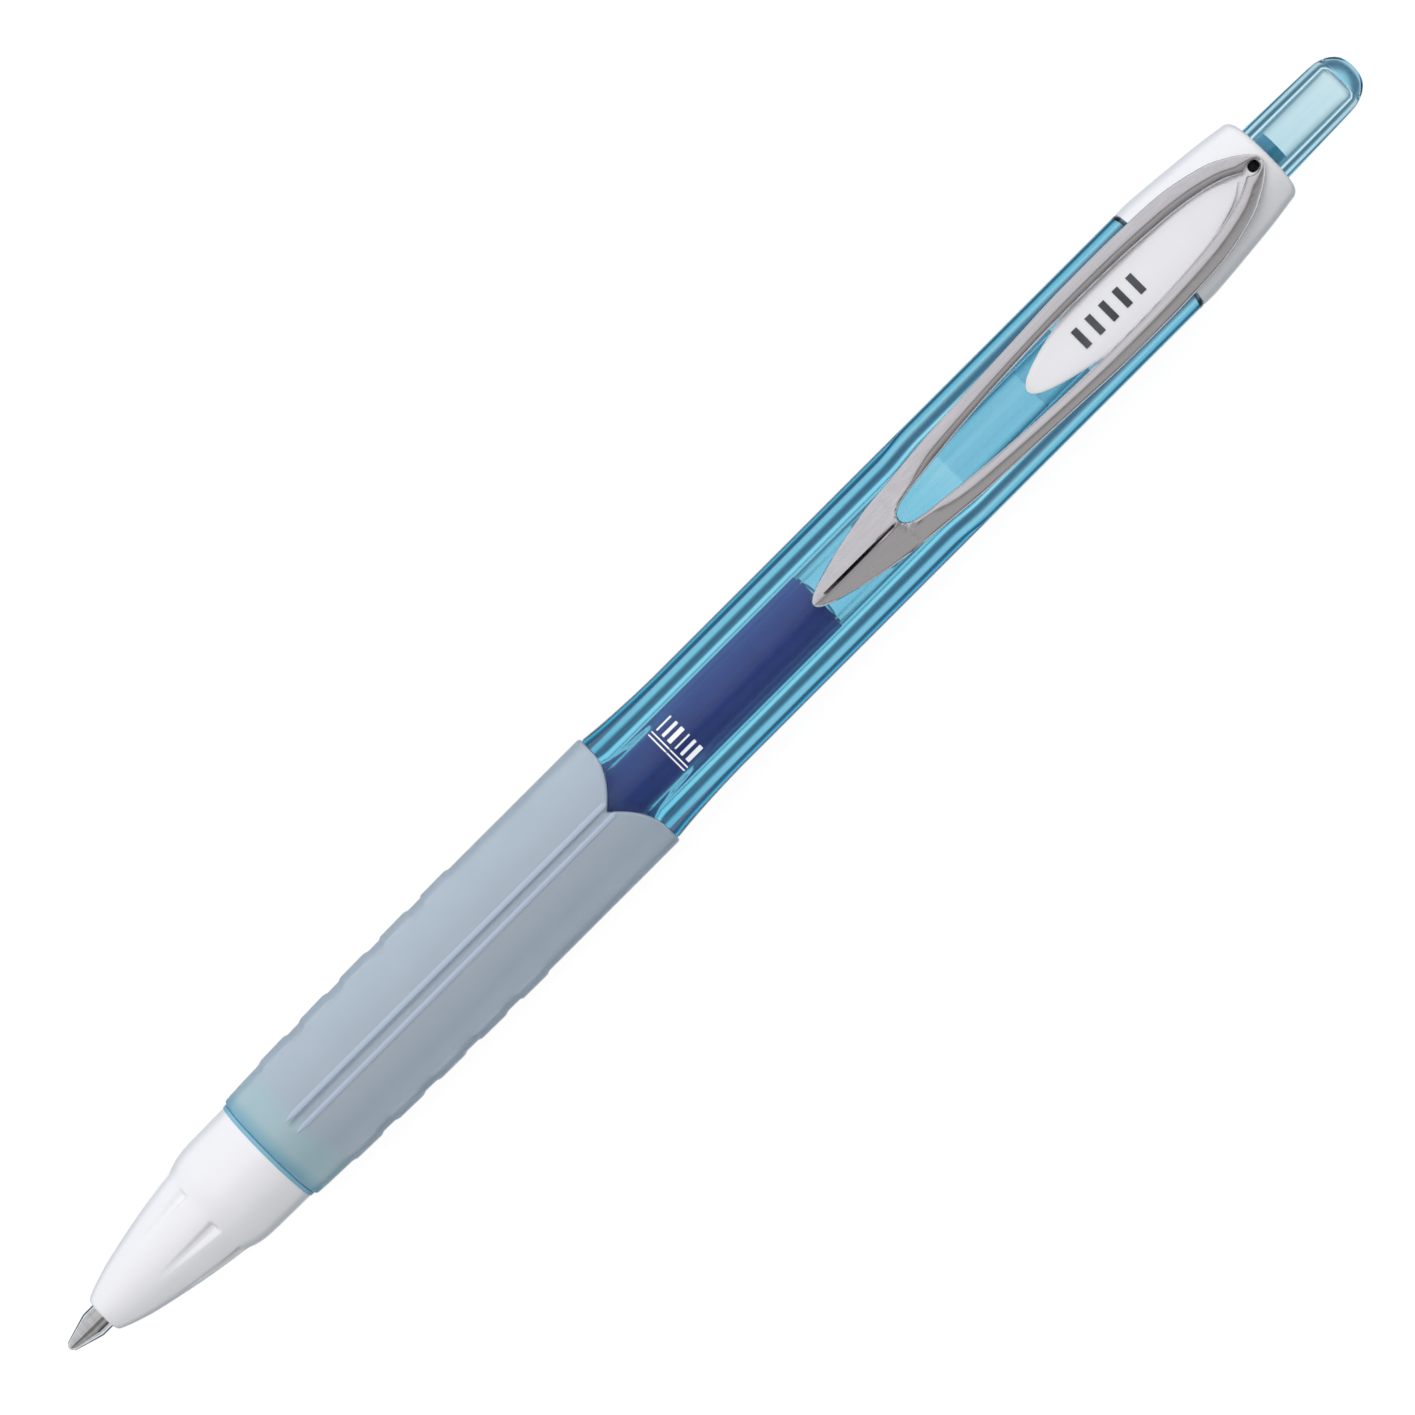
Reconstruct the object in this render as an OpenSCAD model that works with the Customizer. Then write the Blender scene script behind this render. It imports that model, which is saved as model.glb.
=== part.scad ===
// Retractable gel pen with a rubber grip, a ring clip and a click button.
// The pen lies along X with its tip at -X and its clip facing +Z. The origin is on
// the surface that it lies on, half-way along its length. Stations called "at" are
// measured along the pen's axis from the very front of the writing ball.

/* [Pen] */
// Length over everything, with the tip out
pen_len = 143; // [142:0.5:145]
// Radius of the straight part of the barrel
barrel_r = 5; // [4.9:0.05:5.1]
// Radius of the rear, plain part of the rubber grip
grip_r = 5.65; // [5.55:0.05:5.75]

/* [Nose cone] */
// Where the mouth of the nose cone is
cone_at = 3.8; // [3.5:0.1:4]
// Number of flutes cut around the nose cone
flute_count = 7; // [5:1:9]
// Radius of the tool that cuts a flute
flute_r = 0.7; // [0.5:0.1:0.9]
// Depth of a flute at its rear end
flute_depth = 0.35; // [0.2:0.05:0.4]

/* [Grip] */
// Pads on each side of the grip
pad_count = 5; // [3:1:5]
// Length of one pad
pad_len = 3.2; // [2.8:0.1:3.6]
// Spacing of the pads
pad_pitch = 4.55; // [4:0.05:4.6]
// Height of a pad above the grip
pad_h = 0.13; // [0.05:0.01:0.2]
// Width of the groove along the front and back of the grip
groove_w = 1.2; // [0.8:0.1:1.6]
// Depth of that groove
groove_depth = 0.2; // [0.1:0.05:0.4]

/* [Clip] */
// Thickness of the clip's metal
clip_t = 0.8; // [0.7:0.05:0.9]
// Widest half-width of the clip
clip_half = 3.85; // [3.7:0.05:4]
// Widest half-width of the window in the clip
window_half = 2.28; // [2.2:0.02:2.4]

/* [Refill] */
// Diameter of the writing ball
ball_d = 0.7; // [0.5:0.1:0.8]
// Outer radius of the ink tube
tube_r = 2.9; // [2.8:0.05:3]
// Wall of the ink tube
tube_wall = 0.45; // [0.35:0.05:0.5]
// Where the ink ends and the follower grease starts
ink_end_at = 83.4; // [50:1:95]

/* [Click action] */
// Radius of the push button at the collar
button_r = 2.63; // [2.5:0.01:2.65]
// Ribs of the cam guide, and slots between them
rib_count = 4; // [3:1:4]
// Angle that one rib of the guide covers
rib_angle = 20; // [16:1:22]
// Angle that one rib of a cam covers
cam_rib_angle = 16; // [12:1:18]
// Teeth around each cam
tooth_count = 8; // [6:1:10]

/* [Return spring] */
// Diameter of the spring wire
wire_d = 0.35; // [0.3:0.01:0.38]
// Mean radius of the coils
coil_r = 2; // [1.9:0.01:2.02]
// Number of coils
coils = 9; // [7:1:10]

/* [Hidden] */

// The axis is as high as the grip's own radius, so the grip rests on Z = 0
axis_z = grip_r;
fit = 0.12;        // radial clearance of the sliding pieces
end_r = 0.8;       // rounding of the collar's rear edge

// Stations along the axis
spigot_at = 16.5;      // front of the barrel's threaded spigot
seam_at = 22;          // nose cone meets the barrel's flange
grip_at = 22.5;        // front of the rubber
notch_at = 59.95;      // cusp of the notch at the grip's rear
grip_end_at = 62.4;    // rear of the rubber
bore_step_at = 97.5;   // the barrel's bore widens here
collar_at = 121.4;     // barrel's shoulder, where the collar starts
neck_end_at = 127;     // end of the barrel's neck, inside the collar
collar_end_at = 133;   // rear face of the collar
seat_at = 8;           // ledge in the cone that the spring sits on
shoulder_at = 18.5;    // shoulder of the tip holder that the spring pushes on
tube_at = 25.2;        // front of the ink tube
plug_at = 111;         // rear of the ink tube
cam_at = 116.85;       // crests of the rotary cam's teeth
tooth_h = 0.9;         // height of the cam teeth
root_at = 131.7;       // hinge line of the clip
bead_h = 3.72;         // its height above the pen's axis
bead_r = 0.3;          // round bead on the clip's root
tongue_h = 5.95;       // flat top of the collar's tongue, above the axis
guide_ribs_at = 116.8; // front ends of the guide's ribs

spigot_r = 3.85;
bore_r = tube_r + 0.15;
under_grip_r = 4.35;
neck_r = 4.25;
guide_r = tube_r + 0.35;
guide_bore_r = tube_r + 0.1;
rib_r = button_r + fit;
cam_r = rib_r - fit;
cam_rib_r = guide_bore_r - 0.1;
tube_bore_r = tube_r - tube_wall;
steel_r = 1.17;        // straight part of the steel tip
flat_angle = 12;       // the barrel's four shallow flats face this far off the clip's line
flat_at = barrel_r * cos(flat_angle);

// A curve through a few points, in n steps between each two
function between(a, b, c, d, t) =
    0.5 * (2 * b + (c - a) * t + (2 * a - 5 * b + 4 * c - d) * t * t
    + (3 * b - a - 3 * c + d) * t * t * t);
function curve(p, n = 4) =
    [for (i = [0 : len(p) - 2]) for (k = [0 : n - 1])
        between(p[max(i - 1, 0)], p[i], p[i + 1], p[min(i + 2, len(p) - 1)], k / n),
     p[len(p) - 1]];
// The same outline on both sides of the X axis
function both_sides(p) =
    concat(p, [for (i = [len(p) - 2 : -1 : 1]) [p[i][0], -p[i][1]]]);

// Puts a piece drawn around Z onto the pen's axis: its Z runs to the tail and its X up
module on_axis() {
    translate([-pen_len / 2, 0, axis_z])
        rotate([0, 90, 0])
            rotate([0, 0, 180])
                children();
}

// A turned piece, from an outline of [radius, station]
module turned(outline) {
    on_axis() rotate_extrude($fn = 96) polygon(outline);
}

// A straight hole or rod on the axis
module rod(r, from, to) {
    on_axis() translate([0, 0, from]) cylinder(r = r, h = to - from, $fn = 64);
}

// An outline of [station, side] seen from above, filled between two heights
module plan(outline, low, high) {
    translate([-pen_len / 2, 0, axis_z + low])
        linear_extrude(high - low) polygon(outline);
}

// An outline of [station, height above the axis] seen from the side
module side(outline, half) {
    translate([-pen_len / 2, half, axis_z])
        rotate([90, 0, 0])
            linear_extrude(2 * half) polygon(outline);
}

// A coil of wire around the axis, closed at both ends
module coil(mean, wire, from, to, turns, sides, steps) {
    rings = turns * steps;
    closed = 1.5 * steps;
    a = from + wire / 2;
    b = to - wire / 2;
    open = b - a - 2 * 1.5 * wire * 1.05;
    function at(i) =
        i < closed ? a + i / steps * wire * 1.05
        : i > rings - closed ? b - (rings - i) / steps * wire * 1.05
        : a + 1.5 * wire * 1.05 + open * (i - closed) / (rings - 2 * closed);
    points = [for (i = [0 : rings]) for (k = [0 : sides - 1])
        let (t = 360 * i / steps, f = 360 * k / sides, r = mean + wire / 2 * cos(f))
            [r * cos(t), r * sin(t), at(i) + wire / 2 * sin(f)]];
    skin = [for (i = [0 : rings - 1]) for (k = [0 : sides - 1])
        let (n = (k + 1) % sides)
            each [[i * sides + k, (i + 1) * sides + n, i * sides + n],
                  [i * sides + k, (i + 1) * sides + k, (i + 1) * sides + n]]];
    first = [for (k = [0 : sides - 1]) k];
    last = [for (k = [sides - 1 : -1 : 0]) rings * sides + k];
    on_axis() polyhedron(points, concat(skin, [first, last]));
}

// Hard metal ball, free in its socket
module writing_ball() {
    color("silver")
        on_axis() translate([0, 0, ball_d / 2]) sphere(d = ball_d, $fn = 48);
}

// Fine spring behind the ball, which seals the tip when the pen doesn't write.
// Its touching coils are drawn as one ribbed sleeve, with a straight end to the ball
module ball_spring() {
    turns = 11;
    pitch = 0.44;
    first = 1.66;
    color("gainsboro") difference() {
        turned(concat(
            [[0, ball_d + 0.02], [0.08, ball_d + 0.02], [0.08, first - 0.1],
             [0.35, first - 0.1]],
            [for (k = [0 : turns - 1]) each [[0.43, first + k * pitch],
                                             [0.35, first + (k + 0.5) * pitch]]],
            [[0.35, first + turns * pitch], [0, first + turns * pitch]]));
        rod(0.26, first, first + turns * pitch + 1);
    }
}

// Steel point: a cone with the ball's socket, and a straight shank
module pen_tip() {
    lip = 0.22;
    color("lightsteelblue") difference() {
        turned([[0, lip], [0.4, lip], [0.47, 0.45], [1.15, 2.6], [steel_r, 2.75],
                [steel_r, 12], [0, 12]]);
        on_axis() translate([0, 0, ball_d / 2]) sphere(d = ball_d + 0.04, $fn = 48);
        rod(0.2, ball_d / 2, 1.6);
        rod(0.52, 1.5, 13);
    }
}

// Plastic holder that joins the steel point to the ink tube
module tip_holder() {
    color("whitesmoke") difference() {
        turned([[0, 7.6], [1.35, 7.6], [1.5, 7.9], [1.5, shoulder_at],
                [2.4, shoulder_at], [2.4, shoulder_at + 1], [tube_r - 0.15, 21],
                [tube_r - 0.15, tube_at], [tube_bore_r, tube_at], [tube_bore_r, 30],
                [0, 30]]);
        rod(steel_r, 7, 12);
        rod(0.8, 11.9, 20.1);
        rod(2, 20, 31);
    }
}

// Clear tube that holds the ink
module refill_tube() {
    color("aliceblue") difference() {
        rod(tube_r, tube_at, plug_at);
        rod(tube_bore_r, tube_at - 1, plug_at + 1);
    }
}

// The ink itself, from the holder's channel to the follower
module ink_column() {
    color("midnightblue")
        turned([[0, 12], [0.8, 12], [0.8, 20], [2, 20], [2, 30], [tube_bore_r, 30],
                [tube_bore_r, ink_end_at], [0, ink_end_at + 0.5]]);
}

// Grease that follows the ink down the tube
module ink_follower() {
    color("lavender")
        turned([[0, ink_end_at + 0.5], [tube_bore_r, ink_end_at],
                [tube_bore_r, ink_end_at + 6], [0, ink_end_at + 5.4]]);
}

// Vented plug in the rear of the tube, which the rotary cam pushes on
module tail_plug() {
    color("azure") difference() {
        turned([[0, plug_at - 4], [tube_bore_r, plug_at - 4], [tube_bore_r, plug_at],
                [tube_r - 0.2, plug_at], [tube_r - 0.2, plug_at + 0.2],
                [0, plug_at + 0.2]]);
        rod(0.45, plug_at - 5, plug_at + 1);
    }
}

// Compression spring between the cone's ledge and the tip holder's shoulder
module return_spring() {
    color("silver") coil(coil_r, wire_d, seat_at, shoulder_at, coils, 8, 16);
}

// White cone that screws on to the barrel, with flutes that end in a step
module nose_cone() {
    flute_at = 9.4;
    flute_end_at = 15.45;
    start_r = 3.28;
    rise = atan2(4.3 - flute_depth - start_r, flute_end_at - flute_at);
    skin = curve([[1.72, cone_at + 0.2], [2.43, 5.9], [3, 8.3], [3.55, 10.6],
                  [3.98, 13.1], [4.3, 15.45]], 3);
    color("white") difference() {
        turned(concat([[0, cone_at], [1.5, cone_at]], skin,
                      [[4.66, 16.5], [4.8, 17.7], [4.87, 20], [4.87, seam_at],
                       [0, seam_at]]));
        rod(1.28, cone_at - 1, 6);
        rod(1.7, 5.6, seat_at + 0.1);
        rod(2.35, seat_at, 14.1);
        rod(3, 14, spigot_at);
        rod(4.1, spigot_at - 0.1, seam_at + 1);
        for (k = [0 : flute_count - 1])
            on_axis()
                rotate([0, 0, (k + 0.35) * 360 / flute_count])
                    translate([start_r + flute_r, 0, flute_at])
                        rotate([0, rise, 0])
                            cylinder(r = flute_r, h = 6.05, $fn = 32);
    }
}

// Shape of the notch at the rear of the grip: a cusp between two round lobes
module notch(low, high) {
    lobe = curve([[notch_at, 0], [notch_at + 0.9, 0.45], [notch_at + 1.7, 1.3],
                  [notch_at + 2.2, 2.3], [grip_end_at, 3.2]], 3);
    plan(both_sides(concat(lobe, [[grip_end_at, 0]])), low, high);
}

// Four shallow flats that meet in a fine ridge under the clip and opposite it
module flats(from, to) {
    for (a = [-flat_angle, flat_angle, 180 - flat_angle, 180 + flat_angle])
        on_axis()
            rotate([0, 0, a])
                translate([flat_at, -4, from])
                    cube([3, 8, to - from]);
}

// Translucent barrel: threaded spigot, flange, seat of the grip, body and neck
module barrel() {
    flare = curve([[5.42, grip_end_at], [5.27, 64], [5.12, 66.2], [barrel_r, 70]], 4);
    color("skyblue") difference() {
        union() {
            turned(concat(
                [[bore_r, spigot_at], [spigot_r, spigot_at]],
                [for (k = [0 : 3]) each [[spigot_r, 17.3 + k], [4.03, 17.6 + k],
                                         [spigot_r, 17.9 + k]]],
                [[spigot_r, seam_at], [4.95, seam_at], [4.95, grip_at],
                 [under_grip_r, grip_at], [under_grip_r, grip_end_at]],
                flare,
                [[barrel_r, collar_at], [neck_r, collar_at], [neck_r, neck_end_at],
                 [guide_r + 0.05, neck_end_at], [guide_r + 0.05, bore_step_at],
                 [bore_r, bore_step_at]]));
            intersection() {
                turned([[under_grip_r - 0.2, notch_at - 0.5], [5.42, notch_at - 0.5],
                        [5.42, grip_end_at], [under_grip_r - 0.2, grip_end_at]]);
                union() {
                    notch(0.5, 7);
                    notch(-7, -0.5);
                }
            }
        }
        flats(notch_at - 0.4, collar_at);
    }
}

// Rubber sleeve with pads down both sides, a groove front and back, and a notch
module grip_sleeve() {
    pad_at = 26.4;
    skin = curve([[5.13, grip_at], [5.29, 26], [5.42, 31], [5.55, 38],
                  [grip_r, 48]], 4);
    color("lightslategray") difference() {
        union() {
            turned(concat([[under_grip_r, grip_at]], skin,
                          [[grip_r, grip_end_at], [under_grip_r, grip_end_at]]));
            for (k = [0 : pad_count - 1])
                intersection() {
                    turned([[4.8, pad_at + k * pad_pitch],
                            [5.3 + k * 0.075 + pad_h, pad_at + 0.3 + k * pad_pitch],
                            [5.3 + k * 0.075 + pad_h,
                             pad_at + pad_len - 0.3 + k * pad_pitch],
                            [4.8, pad_at + pad_len + k * pad_pitch]]);
                    union() for (s = [0, 1])
                        mirror([0, s, 0])
                            translate([-pen_len / 2 + 20, 4.6, axis_z - 2.2])
                                cube([35, 2, 4.4]);
                }
        }
        for (s = [0, 180])
            on_axis()
                rotate([0, 0, s])
                    translate([grip_r - 0.15 - groove_depth, -groove_w / 2, 30])
                        cube([2, groove_w, 60 - 30]);
        notch(0.5, 7);
        notch(-7, -0.5);
    }
}

// White collar pressed on the barrel's neck, with the tongue inside the clip
module top_collar() {
    lens = curve([[106.4, 0], [107.2, 0.9], [109.2, 1.5], [112.8, 2], [121, 1.85],
                  [124.6, 1.55], [128.2, 0.8], [129.8, 0]], 3);
    top = concat(curve([[106.4, 5.35], [107.3, 5.7], [109, 5.88], [111, tongue_h]], 3),
                 curve([[120, tongue_h], [122.5, 5.86], [126, 5.5], [130, 4.6]], 3));
    shell = curve([[barrel_r, 122.4], [4.8, 125], [4.5, 128.5], [4.2, 130.9],
                   [4.0, collar_end_at - end_r]], 3);
    color("white") difference() {
        union() {
            turned(concat([[0, collar_at], [barrel_r, collar_at]], shell,
                          [[3.72, collar_end_at - 0.25], [3.2, collar_end_at],
                           [0, collar_end_at]]));
            intersection() {
                plan(both_sides(lens), 3.8, 7);
                side(concat([[106.4, 3.8]], top, [[130, 3.8]]), 4);
            }
        }
        rod(barrel_r + 0.02, 100, collar_at);
        rod(neck_r, collar_at - 0.1, neck_end_at);
        rod(rib_r, neck_end_at - 0.1, collar_end_at + 1);
        bead(bead_r + 0.06, 1);
        plan([[root_at - 0.3, -1], [root_at + 0.3, -1], [root_at + 0.3, 1],
              [root_at - 0.3, 1]], bead_h, 6);
    }
}

// Round bead across the clip's root, which turns in a groove of the collar
module bead(r, half) {
    translate([root_at - pen_len / 2, half, axis_z + bead_h])
        rotate([90, 0, 0])
            cylinder(r = r, h = 2 * half, $fn = 48);
}

// Sprung metal clip: a long pointed ring whose root hooks into the collar
module clip() {
    outer = curve([[82.7, 0], [83.3, 0.62], [84.8, 1.18], [87.7, 1.9], [92.2, 2.6],
                   [99.8, 3.25], [112.8, clip_half], [120, clip_half - 0.01],
                   [124.6, 3.6], [128.2, 2.87], [130.4, 1.95], [131.6, 1.05],
                   [132, 0]], 3);
    window = curve([[92.2, 0], [92.9, 0.8], [97.5, 1.38], [105.3, 2.06],
                    [112.8, window_half], [121, 2.1], [124.6, 1.8], [128.2, 1.2],
                    [130.2, 0]], 3);
    top = curve([[82.7, 5.75], [85.5, 6], [89, 6.4], [95, 6.9], [105, 7.15],
                 [115, 7.2], [121, 7], [127, 6.2], [131, 5.15], [132, 4.8]], 3);
    bottom = curve([[132, 4.25], [131, 4.35], [127, 6.2 - clip_t],
                    [121, 7 - clip_t], [115, 7.2 - clip_t], [105, 7.15 - clip_t],
                    [95, 6.9 - clip_t], [89, 5.5], [85.8, 5.08], [82.7, 5.4]], 3);
    color("silver") {
        difference() {
            intersection() {
                plan(both_sides(outer), 4, 8);
                side(concat(top, bottom), 5);
            }
            plan(both_sides(window), 3.9, 8.1);
            plan([[84.5, -0.07], [91.6, -0.07], [91.6, 0.07], [84.5, 0.07]], 6.1, 8);
            translate([131.1 - pen_len / 2, 0, axis_z + 4])
                cylinder(r = 0.4, h = 3, $fn = 32);
        }
        bead(bead_r, 0.9);
        plan([[root_at - 0.15, -0.9], [root_at + 0.15, -0.9], [root_at + 0.15, 0.9],
              [root_at - 0.15, 0.9]], bead_h, 4.6);
    }
}

// Sleeve in the barrel's tail, with ribs that hold or pass the rotary cam
module cam_guide() {
    color("lightcyan") {
        difference() {
            rod(guide_r, 98, neck_end_at);
            rod(guide_bore_r, 97, neck_end_at + 1);
        }
        for (k = [0 : rib_count - 1])
            sector(rib_r, guide_bore_r + 0.1, guide_ribs_at, neck_end_at - 0.2,
                   (k + 0.5) * 360 / rib_count, rib_angle);
    }
}

// A piece of a ring: inner and outer radius, stations, middle angle and width
module sector(inner, outer, from, to, middle, width) {
    on_axis()
        rotate([0, 0, middle - width / 2])
            rotate_extrude(angle = width, $fn = 96)
                polygon([[inner, from], [outer, from], [outer, to], [inner, to]]);
}

// Triangular gullets cut across a face, between the teeth of a cam
module gullets(at, up, phase) {
    half = 1.02 * cam_r * sin(180 / tooth_count);
    for (k = [0 : tooth_count - 1])
        on_axis()
            rotate([0, 0, phase + (k + 0.5) * 360 / tooth_count])
                translate([0, 0, at])
                    rotate([90, 0, 90])
                        linear_extrude(4)
                            polygon([[-half, -0.05 * up], [half, -0.05 * up],
                                     [0, tooth_h * up]]);
}

// Translucent button, hollow for the cam's stem
module push_button() {
    dome = curve([[2.4, 140.3], [2.3, 141.05], [1.85, pen_len - 0.8],
                  [1, pen_len - 0.15], [0, pen_len]], 4);
    color("deepskyblue")
        turned(concat([[1.45, 121.2], [button_r - 0.03, 121.2], [button_r, 133.2]],
                      dome, [[0, 141.35], [1.2, 141.3], [1.45, 141.05]]));
}

// Toothed pusher on the button's stem, kept from turning by its ribs
module thrust_cam() {
    face = cam_at + 0.15;
    color("deepskyblue") difference() {
        union() {
            rod(cam_r, face, 121.2);
            rod(1.45, 121, 134.1);
            for (k = [0 : rib_count - 1])
                sector(cam_r - 0.3, cam_rib_r, 118.6, 121,
                       k * 360 / rib_count, cam_rib_angle);
        }
        rod(1.05, face - 1, 120);
        gullets(face, 1, 0);
    }
}

// Cam that turns by a step at each click and carries the refill
module rotary_cam() {
    front = plug_at + 0.25;
    color("lightcyan") {
        difference() {
            union() {
                turned([[0, front], [1.9, front], [1.9, 112.6], [cam_r, 112.8],
                        [cam_r, cam_at], [0, cam_at]]);
                for (k = [0 : rib_count - 1])
                    sector(cam_r - 0.3, cam_rib_r, 114, guide_ribs_at - 0.2,
                           k * 360 / rib_count - 20, cam_rib_angle);
            }
            gullets(cam_at, -1, 360 / tooth_count / 2);
        }
        rod(0.9, 114, 119.2);
    }
}

// Plain printed mark on the barrel: two fine lines and bars of rising width
module barrel_mark() {
    ink = 0.03;
    color("white")
        for (s = [-1, 1])
            on_axis()
                rotate([0, 0, s * flat_angle])
                    translate([flat_at, -1, 0]) {
                        for (at = [66.45, 66.8])
                            translate([0, 0, at]) cube([ink, 2, 0.12]);
                        for (k = [0 : 2])
                            translate([0, 0.15 + k * 0.62, 67.2])
                                cube([ink, 0.15 + k * 0.12, 1.6]);
                    }
}

// Plain printed mark on the collar's tongue: a row of bars
module collar_mark() {
    color("slategray")
        for (k = [0 : 4])
            translate([112 + k * 1.5 - pen_len / 2, -0.9, axis_z + tongue_h])
                cube([0.6, 1.8, 0.03]);
}

writing_ball();
ball_spring();
pen_tip();
tip_holder();
refill_tube();
ink_column();
ink_follower();
tail_plug();
return_spring();
nose_cone();
barrel();
grip_sleeve();
top_collar();
clip();
cam_guide();
push_button();
thrust_cam();
rotary_cam();
barrel_mark();
collar_mark();
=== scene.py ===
import math

import bmesh
import bpy
import numpy as np
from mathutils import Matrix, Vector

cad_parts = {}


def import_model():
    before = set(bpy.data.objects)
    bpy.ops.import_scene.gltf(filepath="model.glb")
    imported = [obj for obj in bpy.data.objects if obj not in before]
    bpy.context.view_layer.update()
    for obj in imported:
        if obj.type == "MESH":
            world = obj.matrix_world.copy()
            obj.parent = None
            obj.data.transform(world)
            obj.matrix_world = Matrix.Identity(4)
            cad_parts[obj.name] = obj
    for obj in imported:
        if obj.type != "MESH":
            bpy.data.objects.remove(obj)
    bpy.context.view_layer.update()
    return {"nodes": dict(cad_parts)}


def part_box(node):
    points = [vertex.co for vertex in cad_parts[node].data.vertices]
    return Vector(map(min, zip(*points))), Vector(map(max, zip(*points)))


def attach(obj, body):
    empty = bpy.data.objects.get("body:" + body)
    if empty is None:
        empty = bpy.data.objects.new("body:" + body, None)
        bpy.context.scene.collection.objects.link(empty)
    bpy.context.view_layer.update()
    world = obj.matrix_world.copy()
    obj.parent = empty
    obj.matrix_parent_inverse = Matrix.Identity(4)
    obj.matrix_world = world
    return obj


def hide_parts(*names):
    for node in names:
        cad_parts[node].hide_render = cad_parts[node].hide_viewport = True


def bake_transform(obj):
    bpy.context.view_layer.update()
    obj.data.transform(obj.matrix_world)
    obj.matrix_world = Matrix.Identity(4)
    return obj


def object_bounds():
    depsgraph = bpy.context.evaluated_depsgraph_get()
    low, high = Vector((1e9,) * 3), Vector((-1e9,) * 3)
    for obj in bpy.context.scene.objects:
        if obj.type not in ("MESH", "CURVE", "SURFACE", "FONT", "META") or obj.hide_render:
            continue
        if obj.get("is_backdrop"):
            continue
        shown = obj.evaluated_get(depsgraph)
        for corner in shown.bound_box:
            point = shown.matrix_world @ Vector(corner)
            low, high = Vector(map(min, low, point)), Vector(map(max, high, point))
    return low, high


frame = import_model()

# ---------------------------------------------------------------- the pen's own coordinates
# u runs along the axis from the front of the writing ball, y across, z up from the axis.
# Millimetres. An outline of a turned piece is a list of (u, radius).
MM = 0.001
FULL = 2 * math.pi
tube_low, tube_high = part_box("refill_tube")
TIP_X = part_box("writing_ball")[0][0]
AXIS_Z = (tube_low[2] + tube_high[2]) / 2


def world(points):
    """Pen coordinates in millimetres to the frame, in metres."""
    p = np.asarray(points, dtype=float) * MM
    return p + np.array([TIP_X, 0.0, AXIS_Z])


def station(x):
    """A frame x in metres as a station along the pen in millimetres."""
    return (x - TIP_X) / MM


def span(node):
    """First and last station of a CAD node."""
    low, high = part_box(node)
    return station(low[0]), station(high[0])


def spline(points, n=8):
    """Catmull-Rom curve through a few points, n steps to each."""
    p = np.asarray(points, dtype=float)
    q = np.vstack([2 * p[0] - p[1], p, 2 * p[-1] - p[-2]])
    out = []
    for i in range(1, len(q) - 2):
        a, b, c, d = q[i - 1], q[i], q[i + 1], q[i + 2]
        for k in range(n):
            t = k / n
            out.append(0.5 * (2 * b + (c - a) * t
                              + (2 * a - 5 * b + 4 * c - d) * t * t
                              + (3 * b - a - 3 * c + d) * t ** 3))
    out.append(p[-1])
    return np.array(out)


def smooth(x, low=0.0, high=1.0):
    """0 below low, 1 above high, and a soft step between them."""
    t = np.clip((x - low) / (high - low), 0, 1)
    return t * t * (3 - 2 * t)


def filleted(points, arc=5):
    """A closed outline of (u, r, fillet): each corner with a fillet becomes an arc."""
    n, out = len(points), []
    for i, (u, r, f) in enumerate(points):
        p = np.array([u, r])
        if f <= 0:
            out.append(p)
            continue
        a = np.array(points[i - 1][:2]) - p
        b = np.array(points[(i + 1) % n][:2]) - p
        la, lb = np.linalg.norm(a), np.linalg.norm(b)
        cut = min(f, 0.49 * la, 0.49 * lb)
        a, b = p + a / la * cut, p + b / lb * cut
        for t in np.linspace(0, 1, arc):
            out.append((1 - t) ** 2 * a + 2 * t * (1 - t) * p + t * t * b)
    return np.array(out)


# ---------------------------------------------------------------- meshes
MERGE, SLIVER = 2e-7, 1e-7    # metres


def make(name, verts, faces, sharp=35.0):
    """A clean, smooth-shaded mesh object, with edges sharp above an angle in degrees."""
    mesh = bpy.data.meshes.new(name)
    mesh.from_pydata([tuple(v) for v in verts], [], faces)
    bm = bmesh.new()
    bm.from_mesh(mesh)
    bmesh.ops.remove_doubles(bm, verts=bm.verts, dist=MERGE)
    bmesh.ops.dissolve_degenerate(bm, edges=bm.edges, dist=SLIVER)
    bmesh.ops.recalc_face_normals(bm, faces=bm.faces)
    bm.to_mesh(mesh)
    bm.free()
    mesh.shade_smooth()
    mesh.set_sharp_from_angle(angle=math.radians(sharp))
    obj = bpy.data.objects.new(name, mesh)
    bpy.context.scene.collection.objects.link(obj)
    return obj


def grid_faces(n, m, wrap_n, wrap_m, base=0):
    """Quads of a grid of n by m vertices, closed on itself along either side or not."""
    faces = []
    for i in range(n if wrap_n else n - 1):
        for j in range(m if wrap_m else m - 1):
            a, b = i * m + j, i * m + (j + 1) % m
            c, d = ((i + 1) % n) * m + (j + 1) % m, ((i + 1) % n) * m + j
            faces.append((base + a, base + b, base + c, base + d))
    return faces


def end_caps(n, m, base=0):
    """The two end faces of a tube of n rings of m vertices."""
    return [tuple(base + k for k in range(m)), tuple(base + (n - 1) * m + k for k in range(m))]


def around(rows, seg=160):
    """Rows of (u, r), each a number or a function of the angle, turned round the axis.

    Angle 0 is up, 90 degrees is +y.
    """
    th = np.linspace(0, FULL, seg, endpoint=False)
    out = []
    for u, r in rows:
        uu = u(th) if callable(u) else np.full(seg, float(u))
        rr = r(th) if callable(r) else np.full(seg, float(r))
        out.append(np.stack([uu, rr * np.sin(th), rr * np.cos(th)], axis=1))
    return np.array(out)


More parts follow.
